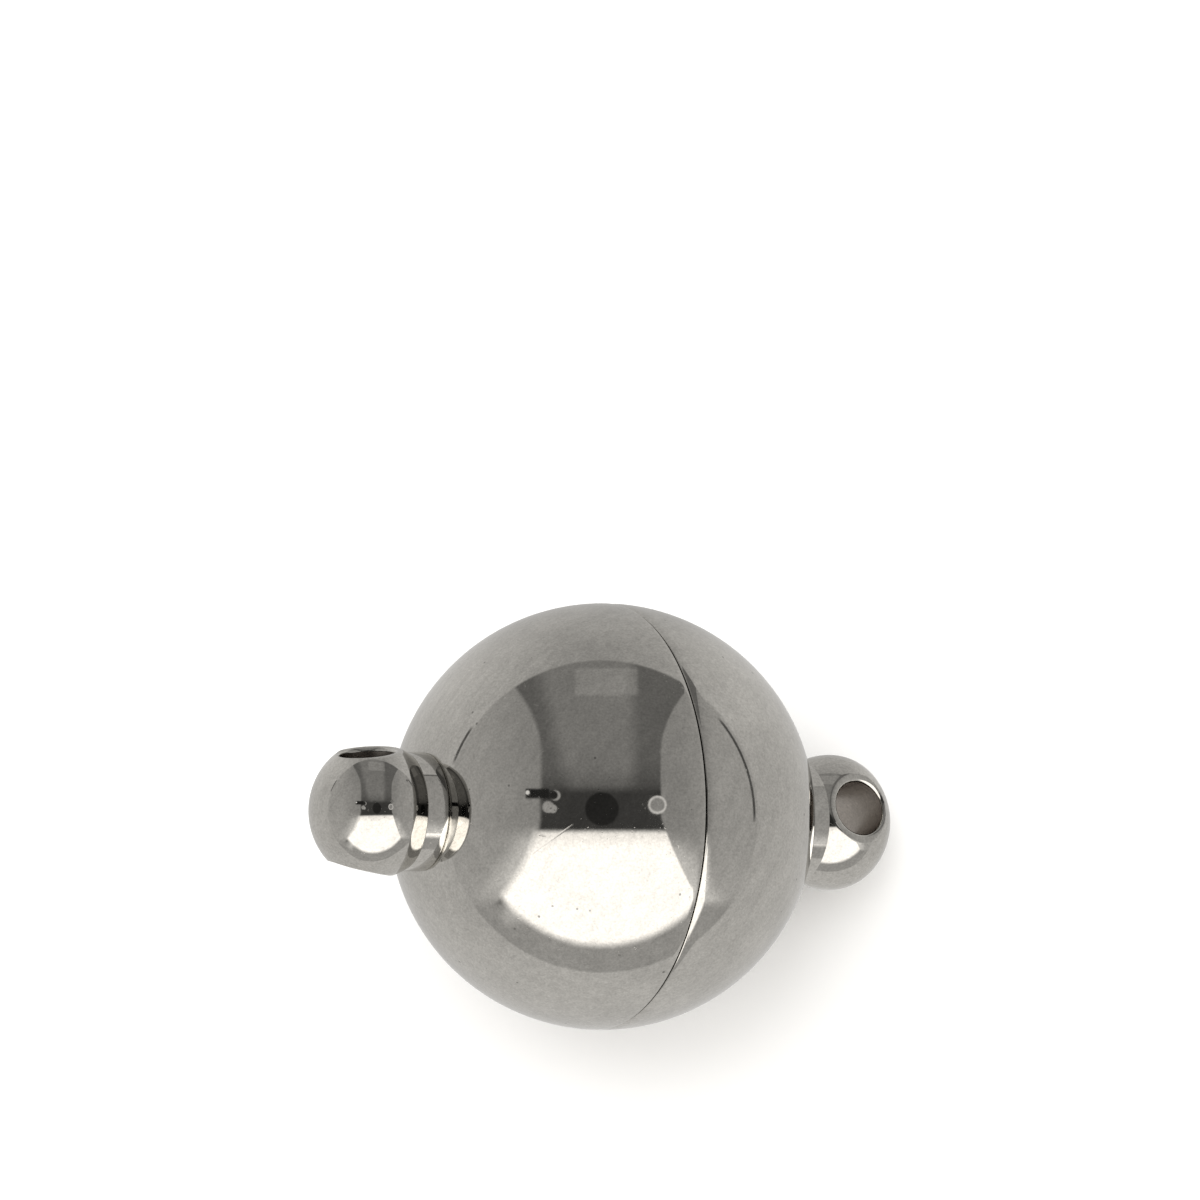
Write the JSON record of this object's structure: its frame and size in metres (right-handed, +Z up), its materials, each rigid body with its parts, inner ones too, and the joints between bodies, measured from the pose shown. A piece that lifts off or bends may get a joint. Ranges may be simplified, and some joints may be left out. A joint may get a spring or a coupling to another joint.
{
  "type": "magnetic ball clasp",
  "caption": "Polished steel ball clasp for a necklace or bracelet: plug and socket halves held together by disc magnets, each with a collared end bead drilled across for a ring.",
  "frame": {"origin": "on the surface that the clasp lies on, straight under the centre of the ball", "axes": "+Z up; the clasp's long axis lies in the XZ plane, with the socket half's bead down on the surface towards +X and the plug half's bead raised towards -X"},
  "size_m": [0.013, 0.01, 0.01],
  "materials": {
    "polished_steel": "mirror-polished stainless steel with faint haze and fine scratches",
    "magnet_plating": "matt nickel plating"
  },
  "bodies": {
    "socket_half": {"socket_cup": "polished_steel", "socket_magnet": "magnet_plating", "socket_eye": "polished_steel"},
    "plug_half": {"plug_cup": "polished_steel", "plug_magnet": "magnet_plating", "plug_eye": "polished_steel"}
  },
  "joints": [
    {"name": "pull_apart", "type": "slide", "parent": "socket_half", "child": "plug_half", "axis": [-0.8267, 0, 0.5627], "range_m": [0, 0.012]}
  ]
}
